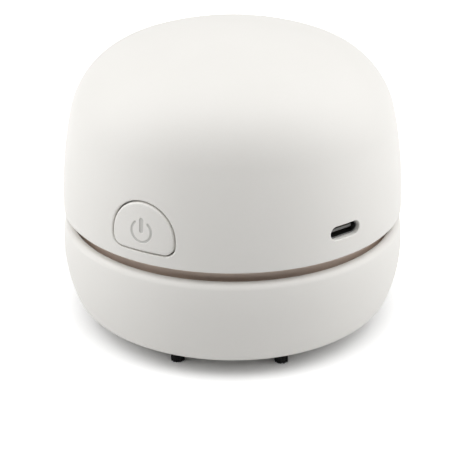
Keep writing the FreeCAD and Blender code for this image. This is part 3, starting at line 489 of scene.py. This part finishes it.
# Power button: cap with a rounded edge and a sunk sign, flange behind it, stem to the switch

sign_z = 39.6
sign_radius = 2.73
sign_line = 0.6
sign_open = 41.0
bar_width = 1.05
bar_low_z = 39.14
bar_top_z = 43.01
sign_depth = 0.18
sign_bevel = 0.16

arch_points = 700
corner_points = 200
leg_points = 20
cap_columns = 288
inner_first = 0.06
inner_last = 4.2
inner_rings = 64
outer_rings = 11
edge_rings = 8
wall_rings = 3
back_shares = (0.75, 0.5, 0.25, 0.02)
flange_columns = 144
flange_shares = (0.02, 0.3, 0.6, 0.85, 0.985, 1, 1, 0.985, 0.85, 0.6, 0.3, 0.02)
flange_bevel = 0.15
board_gap = 0.001
flange_foot_rise = 0.4
stem_columns = 48
stem_bevel = 0.2
stem_root_out = 42.4
stem_neck_out = 41.4


def button_reach(angle, grow):
    """Distance from the sign's centre to the button's outline at each angle. The outline is a
    half circle on upright sides over a foot with round corners, and grow moves it outwards."""
    half = button_width / 2
    spring = button_z + button_height - half
    top = np.linspace(0, math.pi, arch_points)
    left = np.linspace(math.pi, 1.5 * math.pi, corner_points)
    right = np.linspace(1.5 * math.pi, TURN, corner_points)
    foot_z, foot_x = button_z + button_corner, half - button_corner
    centres = [(0, spring, half, top), (-foot_x, foot_z, button_corner, left),
               (foot_x, foot_z, button_corner, right)]
    arcs = [np.stack([x + (r + grow) * np.cos(a), z + (r + grow) * np.sin(a)], 1)
            for x, z, r, a in centres]
    ends = np.concatenate(arcs)
    share = np.linspace(0, 1, leg_points, endpoint=False)[None, :, None]
    legs = (np.roll(ends, -1, 0) - ends)[:, None] * share
    outline = (ends[:, None] + legs).reshape(-1, 2)
    turn = np.arctan2(outline[:, 1] - sign_z, outline[:, 0]) % TURN
    reach = np.hypot(outline[:, 0], outline[:, 1] - sign_z)
    order = np.argsort(turn)
    return np.interp(angle, turn[order], reach[order], period=TURN)


def sign_share_at(across, up):
    """How far a point is inside the power sign, from 0 to 1: the sign is an open ring and an
    upright bar, each a distance to a line less half its width, over the groove's bevel."""
    angle = np.degrees(np.arctan2(across, up - sign_z))
    ring = np.abs(np.hypot(across, up - sign_z) - sign_radius)
    gap = np.radians(sign_open)
    end_x, end_z = sign_radius * np.sin(gap), sign_z + sign_radius * np.cos(gap)
    to_end = np.hypot(np.abs(across) - end_x, up - end_z)
    ring = np.where(np.abs(angle) < sign_open, to_end, ring) - sign_line / 2
    bar_end = np.clip(up, bar_low_z + bar_width / 2, bar_top_z - bar_width / 2)
    bar = np.hypot(across, up - bar_end) - bar_width / 2
    inside = np.clip(0.5 - np.minimum(ring, bar) / sign_bevel, 0, 1)
    return inside * inside * (3 - 2 * inside)


def button_cap():
    """Rings round the sign's centre: circles out past the sign, then shares of the way to the
    outline, a quarter round at the edge, the side wall and the back."""
    angle = np.linspace(0, TURN, cap_columns, endpoint=False)
    every = np.ones(cap_columns)
    inner = np.linspace(inner_first, inner_last, inner_rings)[:, None] * every
    edge = button_reach(angle, -button_round)
    share = np.linspace(0, 1, outer_rings + 1)[1:, None]
    outer = inner_last + (edge - inner_last) * share
    flat_inset = np.full(inner_rings + outer_rings, -button_proud)
    bend = np.linspace(0, math.pi / 2, edge_rings + 1)[1:]
    bent = np.stack([button_reach(angle, -button_round * (1 - math.sin(b))) for b in bend])
    bent_inset = button_round * (1 - np.cos(bend)) - button_proud
    wall = np.repeat(button_reach(angle, 0)[None], wall_rings, 0)
    wall_inset = np.linspace(button_round - button_proud, button_back, wall_rings + 1)[1:]
    back = button_reach(angle, 0)[None] * np.array(back_shares)[:, None]
    back_inset = np.full(len(back_shares), button_back)
    reach = np.concatenate([inner, outer, bent, wall, back])
    inset = np.concatenate([flat_inset, bent_inset, wall_inset, back_inset])[:, None] * every
    across, up = reach * np.cos(angle), sign_z + reach * np.sin(angle)
    sign = sign_share_at(across, up)
    sign[len(flat_inset):] = 0
    points = on_dome(across, up, inset + sign * sign_depth, button_azimuth)
    return points, capped_faces(len(reach), cap_columns), sign.ravel()


def button_flange():
    """A plate behind the shell: the outline grown outwards, cut off level above the board, where
    its foot rises a little towards the middle so that no two points meet."""
    angle = np.linspace(0, TURN, flange_columns, endpoint=False)
    share = np.array(flange_shares)[:, None]
    face_rings = len(flange_shares) // 2 - 1
    inset = np.array([button_back] * face_rings
                     + [button_back + flange_bevel, flange_back - flange_bevel]
                     + [flange_back] * face_rings)[:, None]
    reach = button_reach(angle, flange_reach) * share
    foot = board_z + board_gap + flange_foot_rise * (1 - share)
    up = np.maximum(sign_z + reach * np.sin(angle), foot)
    points = on_dome(reach * np.cos(angle), up, inset * np.ones(flange_columns), button_azimuth)
    return points, capped_faces(len(share), flange_columns)


def button_stem():
    """A round stem along the button's axis, with a small bevel at its tip."""
    angle = np.linspace(0, TURN, stem_columns, endpoint=False)
    centre_z = button_z + button_height / 2
    radius = np.array([stem_radius] * 3 + [stem_radius - stem_bevel])[:, None]
    out = np.array([stem_root_out, stem_neck_out, stem_tip_out + stem_bevel, stem_tip_out])[:, None]
    points = on_side(radius * np.cos(angle), centre_z + radius * np.sin(angle), out, button_azimuth)
    return points, capped_faces(len(out), stem_columns)


cap_points, cap_faces, cap_sign = button_cap()
button_points, button_faces = joined([(cap_points, cap_faces), button_flange(), button_stem()])
button_sign = np.concatenate([cap_sign, np.zeros(len(button_points) - len(cap_sign))])
piece("power_button_cap", button_points, button_faces, "button", button_abs,
      ["power_button"], shade=50, values=("sign", button_sign))


# Bristle tufts: each a bundle of straight filaments that spread a little towards the desk

strand_count = 110
strand_radius = 0.15
strand_sides = 6
strand_levels = (tuft_top_z, floor_z, 2.8, 1.4)
strand_drift = 0.03
standing_strands = 3
tip_spread = 0.05


def bristle_bundle(azimuth, seed):
    """Filaments in an even disc. Each leans out with the way down, by its own amount, and ends
    at its own height just above the desk; those nearest the middle stand on it."""
    chance = np.random.default_rng(seed)
    x, y = spread(strand_count, tuft_radius - strand_radius)
    turn = chance.uniform(0, TURN)
    x, y = x * math.cos(turn) - y * math.sin(turn), x * math.sin(turn) + y * math.cos(turn)
    tip_z = chance.uniform(0, tip_spread, strand_count)
    tip_z[np.argsort(np.hypot(x, y))[:standing_strands]] = 0
    height = np.stack([np.full(strand_count, z) for z in strand_levels] + [tip_z], 1)
    down = np.clip((floor_z - height) / floor_z, 0, 1)
    lean = 1 + down * (tuft_tip_radius - tuft_radius) / (tuft_radius - strand_radius)
    drift_x = chance.normal(0, strand_drift, (strand_count, 1)) * down
    drift_y = chance.normal(0, strand_drift, (strand_count, 1)) * down
    centre_x, centre_y = x[:, None] * lean + drift_x, y[:, None] * lean + drift_y
    stray = np.hypot(centre_x, centre_y) / (tuft_tip_radius - strand_radius)
    centre_x, centre_y = centre_x / np.maximum(stray, 1), centre_y / np.maximum(stray, 1)
    side = np.linspace(0, TURN, strand_sides, endpoint=False)
    px = centre_x[..., None] + strand_radius * np.cos(side)
    py = centre_y[..., None] + strand_radius * np.sin(side)
    points = on_side(px, height[..., None], tuft_ring + py, azimuth)
    return tubes(points, strand_count, height.shape[1], strand_sides)


for number in range(tuft_count):
    azimuth = tuft_first_azimuth + number * 360 / tuft_count
    tuft_points, tuft_faces = bristle_bundle(azimuth, number)
    piece(f"bristle_bundle_{number + 1}", tuft_points, tuft_faces, "base", bristle_nylon,
          [f"bristle_tuft_{number + 1}"], shade=40)


# Filter: felt pad, woven mesh under it and the soft ring it rests on

pad_columns = 240
pad_top_rings = 40
pad_edge_rings = 11
pad_low_rings = 30
pad_centre = 0.01
pad_edge = 1.1
pad_wave_height = 0.09
pad_wave_reach = (2.9, 4.1)
pad_wave_turns = (3, -5)
pad_wave_start = 1
pad_sink = 0.12
pad_edge_sink = 0.28


def felt_pad():
    """A disc of felt whose edge is a half circle pressed flat. Its top sinks with the fourth power
    of the radius and carries the product of two sines of radius over a reach plus turns times
    the angle, as felt waves once it has been cut and handled."""
    angle = np.linspace(0, TURN, pad_columns, endpoint=False)
    middle_z, half = (pad_low_z + pad_top_z) / 2, (pad_top_z - pad_low_z) / 2
    quarter = math.pi / 2
    share = np.concatenate([np.linspace(pad_centre, 1, pad_top_rings), np.ones(pad_edge_rings),
                            np.linspace(1, pad_centre, pad_low_rings)])
    roll = np.concatenate([np.full(pad_top_rings, quarter),
                           np.linspace(quarter, -quarter, pad_edge_rings + 2)[1:-1],
                           np.full(pad_low_rings, -quarter)])
    radius = ((media_radius - pad_edge) * share + pad_edge * np.cos(roll))[:, None]
    radius = radius * np.ones(pad_columns)
    reach, turns = pad_wave_reach, pad_wave_turns
    wave = (np.sin(radius / reach[0] + turns[0] * angle)
            * np.sin(radius / reach[1] + turns[1] * angle + pad_wave_start) * pad_wave_height)
    sink = pad_sink + pad_edge_sink * (radius / media_radius) ** 4
    rise = np.sin(roll)[:, None]
    z = middle_z + half * rise + np.where(rise > 0, (wave - sink) * rise, 0)
    points = np.stack([radius * np.cos(angle), radius * np.sin(angle), z], -1)
    return points, capped_faces(len(share), pad_columns)


pad_points, pad_faces = felt_pad()
pad = piece("felt_pad", pad_points, pad_faces, "filter", filter_felt,
            ["filter_pad"], shade=80)

mesh_pitch = 1.5
thread_radius = 0.07
thread_sides = 4
thread_rows = 96
thread_reach = 23
thread_wave = 0.06
mesh_middle_z = mesh_low_z + mesh_height / 2
rim_width = 1.0
rim_round = 0.12
rim_steps = 4
rim_columns = 180


def woven_threads():
    """Plain weave: threads both ways, each a cosine over and under of one crossing a half wave,
    cut to the circle's chord. All have the same number of points, so long ones are coarser."""
    offset = np.arange(-thread_reach, thread_reach + 1) * mesh_pitch
    offset = offset[np.abs(offset) < media_radius - rim_width]
    number = np.rint(offset / mesh_pitch)
    half = np.sqrt((media_radius - thread_radius) ** 2 - offset ** 2)
    along = half[:, None] * np.linspace(-1, 1, thread_rows)
    lift = thread_wave * np.cos(math.pi * along / mesh_pitch + math.pi * number[:, None])
    side = np.linspace(0, TURN, thread_sides, endpoint=False) + math.pi / 4
    run = along[..., None] * np.ones(thread_sides)
    across = offset[:, None, None] + thread_radius * np.cos(side) * np.ones(run.shape)
    height = mesh_middle_z + lift[..., None] + thread_radius * np.sin(side)
    one_way = np.stack([run, across, height], -1)
    other = np.stack([across, run, 2 * mesh_middle_z - height], -1)
    points = np.concatenate([one_way, other])
    return tubes(points, len(points), thread_rows, thread_sides)


rim_corners = box_corners(media_radius - rim_width, media_radius,
                          mesh_low_z, mesh_low_z + mesh_height)
mesh_points, mesh_faces = joined([
    woven_threads(), spun(rounded_outline(rim_corners, rim_round, rim_steps), rim_columns)])
piece("woven_mesh", mesh_points, mesh_faces, "filter", mesh_thread, ["filter_mesh"],
      shade=60)

seal_foot_round = 0.3
seal_web_round = 0.15
seal_top_round = 0.35
seal_columns = 240

seal_corners = [
    (seal_inner, seal_low_z), (seal_inner + seal_leg, seal_low_z),
    (seal_inner + seal_leg, seal_web_z), (seal_outer - seal_leg, seal_web_z),
    (seal_outer - seal_leg, seal_low_z), (seal_outer, seal_low_z),
    (seal_outer, seal_top_z), (seal_inner, seal_top_z)]
seal_rounds = ([seal_foot_round] * 2 + [seal_web_round] * 2 + [seal_foot_round] * 2
               + [seal_top_round] * 2)
seal_points, seal_faces = spun(rounded_outline(seal_corners, seal_rounds), seal_columns)
piece("seal_ring", seal_points, seal_faces, "seal", seal_silicone,
      ["filter_seal"], shade=50)


# Foam under the cell, and the charging socket's contacts

foam_columns = 96
foam_corner = 1.2
foam_bevel = 0.3
foam_low_shares = (0.02, 0.4, 0.8, 0.96, 1.0)
foam_top_shares = (1.0, 0.96, 0.8, 0.6, 0.4, 0.2, 0.02)


def foam_saddle():
    """A block with soft edges whose top is pressed to the cell's round: height is the cell's
    centre less the root of its radius squared less the distance squared."""
    corners = box_corners(-foam_length / 2, foam_length / 2, -foam_width / 2, foam_width / 2)
    outline = rounded_outline(corners, foam_corner, foam_columns // 4)
    share = np.array(foam_low_shares + foam_top_shares)[:, None]
    x, y = outline[:, 0] * share, outline[:, 1] * share
    round_z = cell_z - np.sqrt(cell_radius ** 2 - y ** 2)
    low_rings, top_rings = len(foam_low_shares), len(foam_top_shares)
    low = np.array([0] * (low_rings - 1) + [foam_bevel])[:, None] * np.ones(foam_columns)
    top = round_z[low_rings:] - np.array([foam_bevel] + [0] * (top_rings - 1))[:, None] - foam_low_z
    z = foam_low_z + np.concatenate([low, top])
    return np.stack([x, cell_y + y, z], -1), capped_faces(len(share), foam_columns)


foam_points, foam_faces = foam_saddle()
foam = piece("foam_saddle", foam_points, foam_faces, "main_body", cut_foam,
             ["battery_pad"], shade=60)

contact_count = 12
contact_pitch = 0.5
contact_width = 0.26
contact_root_out = 39.0
contact_middle_out = 40.7
contact_tip_out = 42.4
contact_round = 0.1
contact_steps = 3
contact_levels = (0, 0.03, 0.045)
contact_shrink = (1, 1, 0.86)


def socket_contacts():
    """Twelve strips on each face of the tongue: a flat outline with round ends, lifted, and
    bevelled to a smaller one on top."""
    corners = box_corners(-contact_width / 2, contact_width / 2, contact_root_out, contact_tip_out)
    outline = rounded_outline(corners, contact_round, contact_steps)
    place = (np.arange(contact_count) - (contact_count - 1) / 2) * contact_pitch
    level = np.array(contact_levels)[:, None]
    shrink = np.array(contact_shrink)[:, None]
    across = place[:, None, None] + outline[:, 0] * shrink
    out = contact_middle_out + (outline[:, 1] - contact_middle_out) * shrink
    sides = []
    for face in (1, -1):
        points = on_side(across, socket_z + face * (tongue_top + level), out, port_azimuth)
        sides.append(tubes(points, contact_count, len(level), len(outline)))
    return joined(sides)


contact_points, contact_faces = socket_contacts()
piece("socket_contacts", contact_points, contact_faces, "main_body", contact_gold,
      shade=40)


# Studio: white floor that keeps the shadow, white surround, soft lamps at the sides and above.
# A lamp is its name, azimuth, height in degrees, distance and size in metres, and watts. The
# floor's painted glow, which lifts its shadow into white, comes in two steps, each over a range of
# distance from the middle.

side_lamp = (30, 0.65, (0.65, 0.75), 3.1)
top_lamp = (74, 0.8, (1.0, 0.6), 3.8)
lamps = [("left_softbox", -86, *side_lamp), ("right_softbox", 86, *side_lamp),
         ("top_softbox", 0, *top_lamp)]
lamp_target = (0, 0, 0.04)
floor_half = 3.0
floor_lit = "DBDBDB"
floor_seen = "FFFFFF"
glow_near = (0.034, 0.053)
glow_far = (0.1, 0.25)
glow_step = 0.5


def soft_lamp(name, place, target, size, watts):
    light = bpy.data.lights.new(name, "AREA")
    light.shape = "RECTANGLE"
    light.size, light.size_y, light.energy = size[0], size[1], watts
    lamp = bpy.data.objects.new(name, light)
    bpy.context.scene.collection.objects.link(lamp)
    lamp.location = place
    aim = Vector(np.subtract(target, place).tolist())
    lamp.rotation_euler = aim.to_track_quat("-Z", "Y").to_euler()


def set_lamps():
    for name, azimuth, height, distance, size, watts in lamps:
        a, h = math.radians(azimuth), math.radians(height)
        place = (distance * math.cos(h) * math.sin(a), -distance * math.cos(h) * math.cos(a),
                 lamp_target[2] + distance * math.sin(h))
        soft_lamp(name, place, lamp_target, size, watts)


def seen_directly(tree):
    """1 for a ray from the camera, a gloss or a clear piece, 0 for one that only carries light."""
    path = add(tree, "ShaderNodeLightPath").outputs
    both = computed(tree, "MAXIMUM", path["Is Camera Ray"], path["Is Glossy Ray"])
    return computed(tree, "MAXIMUM", both, path["Is Transmission Ray"])


def floor_material():
    """Matt white that lights the object from below with a greyer tone than it is seen in, and
    glows where it is seen, more with the distance, so that the shadow fades into white."""
    material, tree, surface, place = start_material("matt_white_sweep", Roughness=1.0)
    surface.inputs["Specular IOR Level"].default_value = 0.0
    surface.inputs["Emission Color"].default_value = (1, 1, 1, 1)
    seen = seen_directly(tree)
    shade = mixed(tree, seen, linear(floor_lit), linear(floor_seen))
    away = add(tree, "ShaderNodeVectorMath", {0: place}, operation="LENGTH").outputs["Value"]
    # painted glow: brighter with the distance from the middle, so that the object's shadow fades
    near = ranged(tree, away, *glow_near, 0.0, glow_step)
    far = ranged(tree, away, *glow_far, 0.0, glow_step)
    glow = computed(tree, "MULTIPLY", seen, computed(tree, "ADD", near, far))
    tree.links.new(shade, surface.inputs["Base Color"])
    tree.links.new(glow, surface.inputs["Emission Strength"])
    return material


def set_floor():
    corners = box_corners(-floor_half, floor_half, -floor_half, floor_half)
    mesh = bpy.data.meshes.new("floor")
    mesh.from_pydata([(x, y, 0) for x, y in corners], [], [(0, 1, 2, 3)])
    floor = bpy.data.objects.new("floor", mesh)
    bpy.context.scene.collection.objects.link(floor)
    mesh.materials.append(floor_material())


def set_world():
    """White where it is seen, and no light of its own."""
    world = bpy.data.worlds.new("studio")
    bpy.context.scene.world = world
    world.use_nodes = True
    tree = world.node_tree
    background = tree.nodes["Background"]
    background.inputs["Color"].default_value = (1, 1, 1, 1)
    tree.links.new(seen_directly(tree), background.inputs["Strength"])


set_floor()
set_world()
set_lamps()
bpy.context.scene.view_settings.view_transform = "Standard"
